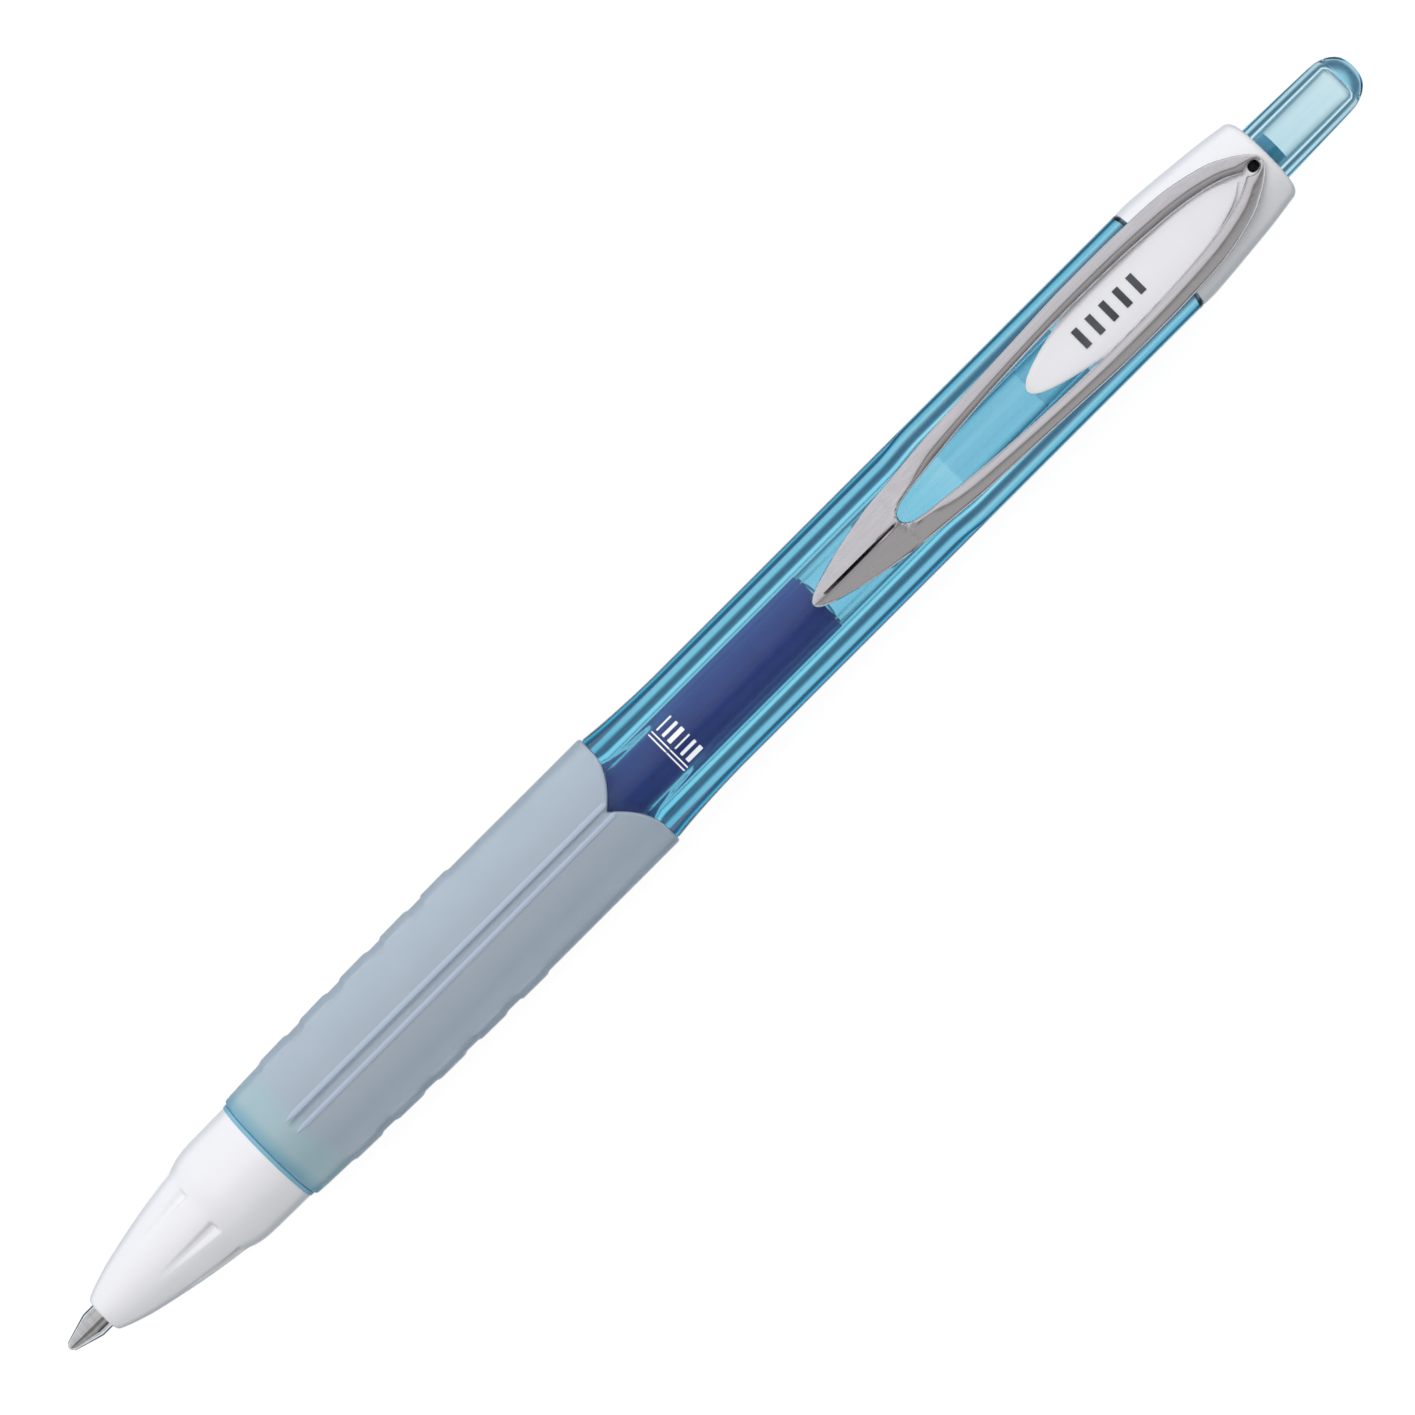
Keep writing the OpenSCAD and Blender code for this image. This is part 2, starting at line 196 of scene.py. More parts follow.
def turned(name, rows, seg=160, closed=True, sharp=35.0):
    """A turned solid from a closed outline of rows, or an open one whose ends lie on the axis."""
    g = around(rows, seg)
    return make(name, world(g.reshape(-1, 3)), grid_faces(len(g), seg, closed, True), sharp)


def paint(obj, mat):
    obj.data.materials.clear()
    obj.data.materials.append(mat)


def finish_piece(obj, node, body, mat):
    """Put a piece on its body in place of its CAD node, or beside the nodes if it replaces none."""
    if node:
        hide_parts(node)
    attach(obj, body)
    paint(obj, mat)


# ---------------------------------------------------------------- materials
def material(name):
    m = bpy.data.materials.new(name)
    m.use_nodes = True
    nt = m.node_tree
    return m, nt, nt.nodes["Principled BSDF"]


def noise(nt, scale, stretch=(1, 1, 1), detail=3.0, rough=0.5):
    """Noise in the piece's own coordinates, in patterns per millimetre."""
    co = nt.nodes.new("ShaderNodeTexCoord")
    mp = nt.nodes.new("ShaderNodeMapping")
    mp.inputs["Scale"].default_value = [1000 * s for s in stretch]
    tex = nt.nodes.new("ShaderNodeTexNoise")
    tex.inputs["Scale"].default_value = scale
    tex.inputs["Detail"].default_value = detail
    tex.inputs["Roughness"].default_value = rough
    nt.links.new(co.outputs["Object"], mp.inputs["Vector"])
    nt.links.new(mp.outputs["Vector"], tex.inputs["Vector"])
    return tex.outputs["Fac"]


def remap(nt, fac, low, high, a=0.3, b=0.7):
    """Map a..b to low..high, clamped."""
    node = nt.nodes.new("ShaderNodeMapRange")
    for key, v in (("From Min", a), ("From Max", b), ("To Min", low), ("To Max", high)):
        node.inputs[key].default_value = v
    nt.links.new(fac, node.inputs["Value"])
    return node.outputs["Result"]


def ramp(nt, fac, stops):
    """Colour ramp from a list of (position, colour)."""
    node = nt.nodes.new("ShaderNodeValToRGB")
    cr = node.color_ramp
    while len(cr.elements) < len(stops):
        cr.elements.new(0.5)
    for e, (pos, col) in zip(cr.elements, stops):
        e.position, e.color = pos, (*col, 1)
    nt.links.new(fac, node.inputs["Fac"])
    return node.outputs["Color"]


def bump(nt, bsdf, height, strength, distance_mm):
    node = nt.nodes.new("ShaderNodeBump")
    node.inputs["Strength"].default_value = strength
    node.inputs["Distance"].default_value = distance_mm * MM
    nt.links.new(height, node.inputs["Height"])
    nt.links.new(node.outputs["Normal"], bsdf.inputs["Normal"])


def mix(nt, fac, a, b):
    """Mix two colours, each a tuple or a socket. A Mix node's sockets 6 and 7 are its colours."""
    node = nt.nodes.new("ShaderNodeMix")
    node.data_type = "RGBA"
    nt.links.new(fac, node.inputs["Factor"])
    for socket, v in ((node.inputs[6], a), (node.inputs[7], b)):
        if isinstance(v, tuple):
            socket.default_value = (*v, 1)
        else:
            nt.links.new(v, socket)
    return node.outputs[2]


def plastic(name, low, high, rough=(0.22, 0.3), grain=0.004, coat=0.0):
    """Moulded opaque plastic: slight mottling, gloss that varies, and a fine moulded skin."""
    m, nt, b = material(name)
    nt.links.new(ramp(nt, noise(nt, 0.35), [(0.35, low), (0.65, high)]), b.inputs["Base Color"])
    nt.links.new(remap(nt, noise(nt, 1.2), *rough), b.inputs["Roughness"])
    bump(nt, b, noise(nt, 9.0, detail=1.0), 0.2, grain)
    b.inputs["Coat Weight"].default_value = coat
    b.inputs["Coat Roughness"].default_value = 0.12
    return m


def clear(name, colour, absorb=None, density=0.0, rough=(0.0, 0.03), ior=1.5, weight=1.0):
    """See-through plastic or liquid: refracts, tints by depth, and its polish varies a little."""
    m, nt, b = material(name)
    b.inputs["Base Color"].default_value = (*colour, 1)
    b.inputs["Transmission Weight"].default_value = weight
    b.inputs["IOR"].default_value = ior
    nt.links.new(remap(nt, noise(nt, 0.6), *rough), b.inputs["Roughness"])
    if absorb:
        v = nt.nodes.new("ShaderNodeVolumeAbsorption")
        v.inputs["Color"].default_value = (*absorb, 1)
        v.inputs["Density"].default_value = density
        nt.links.new(v.outputs["Volume"], nt.nodes["Material Output"].inputs["Volume"])
    return m


def metal(name, low, high, rough, stretch, scale=1.0, grain=0.004):
    """Bare metal with drawn or turned lines."""
    m, nt, b = material(name)
    b.inputs["Metallic"].default_value = 1.0
    lines = noise(nt, scale, stretch, detail=4.0, rough=0.6)
    nt.links.new(ramp(nt, lines, [(0.3, low), (0.7, high)]), b.inputs["Base Color"])
    nt.links.new(remap(nt, lines, *rough), b.inputs["Roughness"])
    bump(nt, b, lines, 0.35, grain)
    return m


RUBBER_PALE, RUBBER_LIGHT = (0.76, 0.87, 0.97), (0.80, 0.90, 0.99)
# Painted glow: a bluer base colour at the grip's front end stands in for light shining through the
# blue barrel where no ink lies behind.
FRONT_GLOW_BLUE = [(0.0, (0.32, 0.70, 0.88)), (0.12, (0.45, 0.80, 0.95)),
              (0.3, (0.72, 0.94, 1.0)), (0.6, (0.72, 0.94, 1.0))]
FRONT_FROM, FRONT_FADE, FRONT_TO = 22.3, 25.0, 26.8    # stations of the grip's front end, painted bluer as a glow of light through the blue barrel


def rubber(name):
    """Frosted rubber: scatters light, has a fine matt skin, and is painted bluer at its front end,
    a painted glow of light through the blue barrel where no ink lies behind.
    """
    m, nt, b = material(name)
    b.inputs["Transmission Weight"].default_value = 0.58
    b.inputs["IOR"].default_value = 1.42
    b.inputs["Coat Weight"].default_value = 0.5
    b.inputs["Coat Roughness"].default_value = 0.28
    place = nt.nodes.new("ShaderNodeTexCoord")
    axes = nt.nodes.new("ShaderNodeSeparateXYZ")
    nt.links.new(place.outputs["Object"], axes.inputs["Vector"])
    x = axes.outputs["X"]
    end = TIP_X + FRONT_TO * MM
    front = ramp(nt, remap(nt, x, 0.0, 1.0, TIP_X + FRONT_FROM * MM, end), FRONT_GLOW_BLUE)
    rest = ramp(nt, noise(nt, 0.3), [(0.3, RUBBER_PALE), (0.7, RUBBER_LIGHT)])
    fade = remap(nt, x, 0.0, 1.0, TIP_X + FRONT_FADE * MM, end)
    nt.links.new(mix(nt, fade, front, rest), b.inputs["Base Color"])
    nt.links.new(remap(nt, noise(nt, 3.0), 0.36, 0.44), b.inputs["Roughness"])
    bump(nt, b, noise(nt, 14.0, detail=2.0), 0.35, 0.02)
    return m


EVEN = (1.0, 1.0, 1.0)    # noise that isn't stretched
WHITE = plastic("white_plastic", (0.83, 0.83, 0.85), (0.84, 0.84, 0.86), (0.28, 0.32), 0.0004, 0.15)
BLUE = clear("blue_barrel", (1.0, 1.0, 1.0), (0.175, 0.75, 0.887), 400.0, (0.0, 0.02), 1.5)
BUTTON = clear("blue_button", (0.99, 1.0, 1.0), (0.07, 0.68, 0.86), 300.0, (0.0, 0.02), 1.52)
RUBBER = rubber("frosted_rubber")
# Painted highlight: the ribs are nearly opaque and coloured to read as the bright lines along the
# groove's lips.
RIB_HIGHLIGHT = clear("rib_painted_highlight", (0.50, 0.59, 0.71), rough=(0.36, 0.44), ior=1.42, weight=0.15)
# Painted light: a mostly opaque cyan for the flange, standing in for light glowing through the
# clear flange where it would lie in shade.
FLANGE_GLOW = clear("flange_painted_glow", (0.30, 0.66, 0.86), rough=(0.3, 0.4), ior=1.45, weight=0.3)
INK = plastic("gel_ink", (0.22, 0.14, 0.66), (0.26, 0.16, 0.74), (0.3, 0.4), 0.0)
TUBE = clear("clear_tube", (0.95, 0.98, 1.0), rough=(0.02, 0.08), ior=1.1)
GREASE = clear("follower_grease", (0.88, 0.95, 0.98), rough=(0.02, 0.08), ior=1.1)
CLEAR_PART = clear("clear_cam_plastic", (0.9, 0.97, 1.0), (0.1, 0.68, 0.86), 80.0, (0.02, 0.08))
CAM_BLUE = plastic("cam_blue", (0.06, 0.66, 1.0), (0.08, 0.72, 1.0), (0.2, 0.3), 0.01, 0.3)
HOLDER = plastic("holder_plastic", (0.84, 0.87, 0.9), (0.88, 0.91, 0.93), (0.2, 0.3), 0.01)
PLUG = clear("plug_plastic", (0.9, 0.97, 1.0), (0.0, 0.7, 0.85), 40.0, (0.05, 0.15), 1.49)
STEEL = metal("turned_steel", (0.52, 0.51, 0.51), (0.74, 0.73, 0.73), (0.05, 0.1), (3.0, 0.1, 0.1),
              grain=0.0008)
WIRE = metal("drawn_wire", (0.5, 0.5, 0.52), (0.66, 0.66, 0.68), (0.2, 0.3), EVEN, 3.0)
BALL = metal("ball_metal", (0.6, 0.61, 0.63), (0.7, 0.71, 0.73), (0.05, 0.1), EVEN, 4.0, 0.001)
SATIN = metal("satin_clip", (0.66, 0.64, 0.65), (0.78, 0.75, 0.77), (0.2, 0.32), (0.15, 5.0, 5.0),
              grain=0.002)
# Painted shade: near-black metal for the clip's hook, standing in for the dark hole at the clip's
# root.
ROOT_SHADE = metal("clip_root_painted_shade", (0.015, 0.015, 0.017), (0.03, 0.03, 0.033), (0.3, 0.4), EVEN, 2.0)
PRINT_WHITE = plastic("white_print", (0.94, 0.95, 0.98), (0.97, 0.98, 1.0), (0.45, 0.6), 0.005)
PRINT_GREY = plastic("grey_print", (0.05, 0.055, 0.065), (0.08, 0.085, 0.1), (0.45, 0.6), 0.005)

# ---------------------------------------------------------------- nose cone
CONE_AT, SEAM_AT = span("nose_cone")
FLUTES, FLUTE_0 = 7, math.radians(-18)
FLUTE_PITCH = FULL / FLUTES
FLUTE_FROM, FLUTE_LONG, FLUTE_DEEP = 9.2, 6.2, 0.45
FLUTE_END, FLUTE_CLOSED = 15.2, 15.5
FLUTE_HALF, FLUTE_WIDEN, FLUTE_CURVE = 0.3, 0.4, 1.2    # half width, how much it grows, deepening
cone_skin = spline([(CONE_AT, 1.62), (4.7, 2.02), (5.9, 2.43), (7.1, 2.77), (9.4, 3.28),
                    (11.8, 3.75), (14.1, 4.12), (15.4, 4.3), (16.5, 4.64), (17.7, 4.8),
                    (20.0, 4.85), (SEAM_AT, 4.87)], 5)


def cone_radius(u, r):
    """Radius of the cone's skin at a station, with its flutes scooped out."""
    def at(th):
        off = (th - FLUTE_0 + FLUTE_PITCH / 2) % FLUTE_PITCH - FLUTE_PITCH / 2
        side = np.abs(off) * r
        run = np.clip((u - FLUTE_FROM) / FLUTE_LONG, 0, 1)
        half = FLUTE_HALF + FLUTE_WIDEN * run
        depth = FLUTE_DEEP * run ** FLUTE_CURVE * (1 - smooth(u, FLUTE_END, FLUTE_CLOSED))
        return r - depth * (1 - smooth(side, 0.15 * half, 1.1 * half)) * (u > FLUTE_FROM)
    return at


# The skin has extra rows where the flutes end.
cone_rows = [(u, cone_radius(u, r)) for u, r in cone_skin]
cone_rows += [(u, cone_radius(u, np.interp(u, cone_skin[:, 0], cone_skin[:, 1])))
              for u in np.linspace(15.1, 15.6, 10)]
cone_rows.sort(key=lambda row: row[0])
rows = [(CONE_AT, 1.45), (CONE_AT + 0.02, 1.52), (CONE_AT + 0.08, 1.6)]
rows += cone_rows[1:] + [(SEAM_AT, 4.75)]
rows += [tuple(p) for p in filleted(
    [(SEAM_AT, 4.1, 0.1), (16.5, 4.1, 0), (16.5, 3.0, 0), (14.0, 3.0, 0), (14.0, 2.35, 0),
     (8.0, 2.35, 0), (8.0, 1.7, 0), (5.8, 1.7, 0), (5.6, 1.28, 0), (CONE_AT, 1.28, 0.1)])]
nose = turned("nose_shell", rows, 448)
finish_piece(nose, "nose_cone", "nose", WHITE)

# ---------------------------------------------------------------- notch and barrel
NOTCH_AT, GRIP_END, NOTCH_HALF = 59.95, 62.4, 4.0
NOTCH_R = 5.5         # radius at which the notch is NOTCH_HALF wide to each side
NOTCH_CURVE = 1.8


def notch_edge(th):
    """Station of the grip's rear edge at an angle round the axis."""
    side = np.clip(np.abs(NOTCH_R * np.sin(th)) / NOTCH_HALF, 0, 1)
    return NOTCH_AT + (GRIP_END - NOTCH_AT) * (1 - (1 - side) ** NOTCH_CURVE)


BARREL_R = 5.0
FLAT, BACK_FLAT = math.radians(12), math.radians(6)    # tilts of the two flats above and below
FLAT_LIFT = 0.9                     # how much of the flare the flats follow
FLATS = [(FLAT, FLAT), (FLAT, -FLAT),
         (BACK_FLAT, math.pi - BACK_FLAT), (BACK_FLAT, math.pi + BACK_FLAT)]
RIDGE_H, RIDGE_HALF = 0.03, 0.08    # mould line along the top
flare = spline([(59.0, 5.5), (GRIP_END, 5.42), (63.5, 5.31), (65.2, 5.18), (67.5, 5.06),
                (70.0, BARREL_R), (72.5, BARREL_R)], 6)
FLARE_END = 70.0
TUCK_GAP, TUCK_DEEP = 0.03, 0.06    # behind the grip's edge


def barrel_radius(u, th):
    """Radius of the barrel's skin: flared behind the grip, with its flats and its mould line."""
    r = np.interp(u, flare[:, 0], flare[:, 1])
    lifted = FLAT_LIFT * (r - BARREL_R) * (1 - smooth(u, 63.5, 66.0))
    for tilt, a in FLATS:
        c = np.cos(th - a)
        flat = (BARREL_R * math.cos(tilt) + lifted) / np.maximum(c, 0.5)
        r = np.where(c > 0.5, np.minimum(r, flat), r)
    length = smooth(u, 60.5, 61.5) * (1 - smooth(u, 82.0, 83.0))
    return r + RIDGE_H * np.exp(-(r * np.sin(th) / RIDGE_HALF) ** 2) * length


def barrel_row(u, sink=0.0, at=None):
    """A row of the skin at one station, sunk a little if need be, or drawn at another station."""
    return u if at is None else at, lambda th: barrel_radius(np.full_like(th, u), th) - sink


def flare_row(t):
    """A row between the notch's edge, where it tucks in under the grip, and the flare's end."""
    return (lambda th: notch_edge(th) + TUCK_GAP + (FLARE_END - notch_edge(th)) * t,
            lambda th: barrel_radius(notch_edge(th) + (FLARE_END - notch_edge(th)) * t, th)
            - (TUCK_DEEP if t == 0 else 0))


def grip_bed_row(t):
    """A row of the plain bed under the grip."""
    return lambda th: FLANGE_END + (notch_edge(th) - 0.02 - FLANGE_END) * t, UNDER_GRIP


UNDER_GRIP = 4.35
SPIGOT_R, SPIGOT_AT = 3.85, 16.5
RINGS, RING_AT, RING_R = 4, 17.3, 4.03
TUBE_R = (tube_high[2] - tube_low[2]) / 2 / MM
BORE_R = TUBE_R + 0.1
guide_low, guide_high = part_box("cam_guide")
GUIDE_BORE = (guide_high[2] - guide_low[2]) / 2 / MM + 0.05
GUIDE_AT, BORE_STEP = 98.0, 4.0
COLLAR_AT, NECK_END, NECK_R = 121.4, span("cam_guide")[1], 4.25
FLANGE_END = SEAM_AT + 0.35
barrel_rows = [(SPIGOT_AT, BORE_R), (SPIGOT_AT, SPIGOT_R - 0.1), (SPIGOT_AT + 0.1, SPIGOT_R),
               (RING_AT - 0.1, SPIGOT_R)]
for k in range(RINGS):
    a = RING_AT + k
    barrel_rows += [(a, SPIGOT_R), (a + 0.2, RING_R - 0.03), (a + 0.3, RING_R),
                    (a + 0.4, RING_R - 0.03), (a + 0.6, SPIGOT_R)]
barrel_rows += [(SEAM_AT, SPIGOT_R), (SEAM_AT, UNDER_GRIP), (FLANGE_END, UNDER_GRIP)]
barrel_rows += [grip_bed_row(t) for t in np.linspace(0.05, 1, 12)]
barrel_rows += [flare_row(t) for t in (0.0, 0.02, 0.1, 0.25, 0.4, 0.55, 0.7, 0.85, 1.0)]
barrel_rows += [barrel_row(u) for u in list(np.linspace(72, 120.8, 12)) + [COLLAR_AT - 0.12]]
barrel_rows += [barrel_row(90.0, 0.1, COLLAR_AT)]
barrel_rows += [(COLLAR_AT, NECK_R), (NECK_END, NECK_R), (NECK_END, GUIDE_BORE),
                (GUIDE_AT, GUIDE_BORE)]
barrel_rows += [(GUIDE_AT - BORE_STEP * t, GUIDE_BORE + (BORE_R - GUIDE_BORE) * smooth(t))
                for t in (0.15, 0.3, 0.45, 0.6, 0.75, 0.9, 1.0)]
barrel_rows += [(u, BORE_R) for u in np.linspace(90, 20, 8)]
barrel = turned("barrel_shell", barrel_rows, 480, sharp=25.0)
finish_piece(barrel, "barrel", "barrel", BLUE)

FLANGE_R, ON_BED = 4.93, UNDER_GRIP + 0.01
# The ring seen in the seam between cone and grip, in the painted-glow material.
flange = turned("barrel_flange", [
    (SEAM_AT + 0.01, ON_BED), (SEAM_AT + 0.01, FLANGE_R - 0.06), (SEAM_AT + 0.05, FLANGE_R),
    (FLANGE_END - 0.05, FLANGE_R), (FLANGE_END, FLANGE_R - 0.05), (FLANGE_END, ON_BED)], 240)
finish_piece(flange, None, "barrel", FLANGE_GLOW)

# ---------------------------------------------------------------- rubber grip
PADS, PAD_AT, PAD_PITCH, PAD_LEN, PAD_H, PAD_EDGE = 5, 26.4, 4.55, 3.2, 0.13, 0.25
PAD_FULL, PAD_FADE = 26, 33         # degrees off the pen's sides
GROOVE_DEEP, GROOVE_FLOOR, GROOVE_HALF = 0.25, 0.1, 0.4
GRIP_AT = FLANGE_END + 0.02
grip_low, grip_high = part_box("grip_sleeve")
GRIP_R = (grip_high[2] - grip_low[2]) / 2 / MM
grip_skin = spline([(22.4, 5.13), (23.6, 5.21), (26.0, 5.29), (30.6, 5.4), (35.4, 5.5),
                    (40.0, 5.56), (45.0, 5.62), (48.3, GRIP_R), (55.0, GRIP_R), (63.0, GRIP_R)], 6)


def grip_skin_radius(u, th):
    """The grip's skin with its pads, which stand out along both sides."""
    r = np.interp(u, grip_skin[:, 0], grip_skin[:, 1])
    side = np.degrees(np.arccos(np.clip(np.abs(np.sin(th)), 0, 1)))
    reach = 1 - smooth(side, PAD_FULL, PAD_FADE)
    for k in range(PADS):
        a = PAD_AT + k * PAD_PITCH
        b = a + PAD_LEN
        r = r + PAD_H * reach * smooth(u, a, a + PAD_EDGE) * (1 - smooth(u, b - PAD_EDGE, b))
    return r


def grip_radius(u, th):
    """The grip's skin with its groove sunk in."""
    r = grip_skin_radius(u, th)
    across = 1 - smooth(np.abs(r * np.sin(th)), GROOVE_FLOOR, GROOVE_HALF)
    return r - GROOVE_DEEP * across * smooth(u, 25.0, 25.5)


def grip_row(t, lift=0.0, back=0.0):
    """A row at a share of the way to the notched rear edge, lifted off the skin, or held back."""
    def at(th):
        return GRIP_AT + (notch_edge(th) - back - GRIP_AT) * t
    return at, lambda th: grip_radius(at(th), th) + lift


def grip_bore_row(t):
    return lambda th: GRIP_AT + (notch_edge(th) - GRIP_AT) * t, ON_BED


grip_rows = [(GRIP_AT, ON_BED), grip_row(0.0, -0.25), grip_row(0.002, -0.08), grip_row(0.005)]
grip_rows += [grip_row(t) for t in np.linspace(0.01, 0.992, 190)]
grip_rows += [grip_row(1.0, -0.02, 0.16), grip_row(1.0, -0.07, 0.06), grip_row(1.0, -0.18)]
grip_rows += [grip_bore_row(t) for t in np.linspace(1, 0.05, 12)]
grip = turned("grip_rubber", grip_rows, 540)
finish_piece(grip, "grip_sleeve", "barrel", RUBBER)

RIB_AT, RIB_HALF, RIB_H = 0.62, 0.26, 0.16    # beside the groove's middle, half width, height
RIB_CLOSE = 0.12                              # how much nearer the ribs come towards the rear
RIB_ROOT, RIB_BED = 0.12, 5.4                 # depth under the skin, radius that sets the angle
RIB_STATIONS = np.concatenate([np.linspace(25.0, 26.0, 8), np.linspace(26.4, 59.8, 120),
                               np.linspace(59.9, 60.4, 6)])


def grip_ribs():
    """Round ribs along both sides of the groove, above and below, tapered at their ends."""
    phi = np.linspace(0, math.pi, 11)
    verts, faces = [], []
    for side in (-1, 1):
        for up in (1, -1):
            line = []
            for u in RIB_STATIONS:
                taper = smooth(u, 24.9, 26.2) * (1 - smooth(u, 60.0, 60.45))
                size = math.sqrt(max(taper, 0.004))
                mid = RIB_AT * (1 - RIB_CLOSE * smooth(u, 30, 60))
                y = side * mid + RIB_HALF * size * np.r_[np.cos(phi), -0.9, 0.9]
                lift = np.r_[RIB_H * size * np.sin(phi) - 0.02, -RIB_ROOT, -RIB_ROOT]
                r = grip_skin_radius(np.full(len(y), u), np.arcsin(y / RIB_BED)) + lift
                line.append(np.stack([np.full(len(y), u), y, up * np.sqrt(r ** 2 - y ** 2)], 1))
            g = np.array(line)
            n, m = g.shape[:2]
            base = len(verts)
            verts += list(g.reshape(-1, 3))
            faces += grid_faces(n, m, False, True, base) + end_caps(n, m, base)
    return make("grip_ribs", world(verts), faces, 60.0)


# The ribs wear the painted-highlight material.
finish_piece(grip_ribs(), None, "barrel", RIB_HIGHLIGHT)

# ---------------------------------------------------------------- refill
INK_END, HOLDER_AT, TUBE_WALL = 83.4, 12.0, 0.45
SHANK_R, SHANK_BORE, BALL_R = 1.17, 0.52, 0.35
TUBE_AT, PLUG_AT = span("refill_tube")
INK_R = TUBE_R - TUBE_WALL
FOLLOWER_END = INK_END + 6.0

tip_rows = [(0.22, 0.345), (0.22, 0.40), (0.26, 0.43), (0.45, 0.5), (1.4, 0.79), (2.5, 1.12),
            (2.62, 1.15), (2.75, SHANK_R), (7.0, SHANK_R), (HOLDER_AT, SHANK_R),
            (HOLDER_AT, SHANK_BORE), (1.6, SHANK_BORE), (1.5, 0.2), (0.66, 0.2), (0.55, 0.31),
            (0.35, 0.37)]
tip = turned("steel_point", tip_rows, 96)
finish_piece(tip, "pen_tip", "refill", STEEL)

ball_rows = [(BALL_R - BALL_R * math.cos(x), BALL_R * math.sin(x))
             for x in np.linspace(0, math.pi, 25)]
ball = turned("ball_point", ball_rows, 64, closed=False)
finish_piece(ball, "writing_ball", "ball", BALL)

tube_rows = filleted([(TUBE_AT, INK_R, 0), (TUBE_AT, TUBE_R, 0.06), (PLUG_AT, TUBE_R, 0.06),
                      (PLUG_AT, INK_R, 0)])
tube = turned("ink_tube", [tuple(p) for p in tube_rows], 160)
finish_piece(tube, "refill_tube", "refill", TUBE)

# The ink overlaps the tube's wall a little and the grease stays just off it, so that no two
# surfaces share a place.
ink_rows = [(HOLDER_AT, 0.0), (HOLDER_AT, 0.8), (20.0, 0.8), (20.0, 2.0), (25.4, 2.0),
            (25.4, INK_R + 0.03), (INK_END - 0.15, INK_R + 0.03), (INK_END, INK_R - 0.05),
            (INK_END + 0.3, 1.8), (INK_END + 0.42, 0.8), (INK_END + 0.45, 0.0)]
ink = turned("ink_fill", ink_rows, 128, closed=False)
finish_piece(ink, "ink_column", "refill", INK)

grease_rows = [(INK_END + 0.47, 0.0), (INK_END + 0.44, 0.8), (INK_END + 0.32, 1.8),
               (INK_END + 0.02, INK_R - 0.03), (INK_END + 0.05, INK_R - 0.01),
               (FOLLOWER_END, INK_R - 0.01), (FOLLOWER_END - 0.3, 1.8), (FOLLOWER_END - 0.5, 0.8),
               (FOLLOWER_END - 0.55, 0.0)]
grease = turned("follower_fill", grease_rows, 128, closed=False)
finish_piece(grease, "ink_follower", "refill", GREASE)


def coil(name, mean, wire, low, high, turns, seg=40, sides=12):
    """Compression spring with closed ends, from the radius of its wire's middle."""
    closed, pitch = 1.5, wire * 1.03    # turns that touch at each end, and their pitch
    a, b = low + wire / 2, high - wire / 2
    t = np.linspace(0, turns, turns * seg + 1)
    middle = a + closed * pitch + (b - a - 2 * closed * pitch) * (t - closed) / (turns - 2 * closed)
    u = np.where(t < closed, a + t * pitch,
                 np.where(t > turns - closed, b - (turns - t) * pitch, middle))
    f = np.linspace(0, FULL, sides, endpoint=False)
    r = mean + wire / 2 * np.cos(f)
    g = np.array([np.stack([ui + wire / 2 * np.sin(f), r * math.sin(FULL * ti),
                            r * math.cos(FULL * ti)], 1) for ti, ui in zip(t, u)])
    faces = grid_faces(len(g), sides, False, True) + end_caps(len(g), sides)
    return make(name, world(g.reshape(-1, 3)), faces, 50.0)


SPRING_MEAN, WIRE_D, SPRING_TURNS, SPRING_HOLD = 2.0, 0.35, 9, 0.4
spring_low, spring_high = span("return_spring")
spring = coil("main_spring", SPRING_MEAN, WIRE_D, spring_low, spring_high, SPRING_TURNS)
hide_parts("return_spring")
paint(spring, WIRE)
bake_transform(spring)

# ---------------------------------------------------------------- collar with its tongue
collar_skin = spline([(COLLAR_AT, BARREL_R), (122.6, BARREL_R), (123.8, 4.92), (125.0, 4.82),
                      (127.3, 4.6), (129.7, 4.36), (131.4, 4.12), (132.2, 4.0)], 5)
collar_edge = [(132.2 + 0.8 * math.sin(x), 4.0 - 0.8 * (1 - math.cos(x)))
               for x in np.linspace(0.2, math.pi / 2, 9)]
PIT_AT, PIT_LONG, PIT_WIDE, PIT_DEEP = 131.5, 0.55, 0.5, 1.0
FAR_OFF = 10                        # keeps the pit off the collar's back


def collar_row(u, r):
    """The collar's skin, with the pit that the clip's root hooks into."""
    def at(th):
        far = np.hypot((u - PIT_AT) / PIT_LONG, r * np.sin(th) / PIT_WIDE)
        far = far + FAR_OFF * (np.cos(th) < 0)
        return r - PIT_DEEP * (1 - smooth(far, 0.86, 1.0))
    return u, at


skin = [tuple(p) for p in collar_skin[1:]] + collar_edge
skin += [(u, np.interp(u, collar_skin[:, 0], collar_skin[:, 1]))
         for u in np.linspace(130.86, 132.14, 33)]
rows = [(COLLAR_AT, NECK_R + 0.01), (COLLAR_AT, 4.9), (COLLAR_AT + 0.03, 4.97)]
rows += [collar_row(u, r) for u, r in sorted(skin)]
rows += [(133.0, 2.85), (132.9, 2.76), (NECK_END, 2.75), (NECK_END, NECK_R + 0.01)]
collar = turned("collar_shell", rows, 480)
finish_piece(collar, "top_collar", "barrel", WHITE)

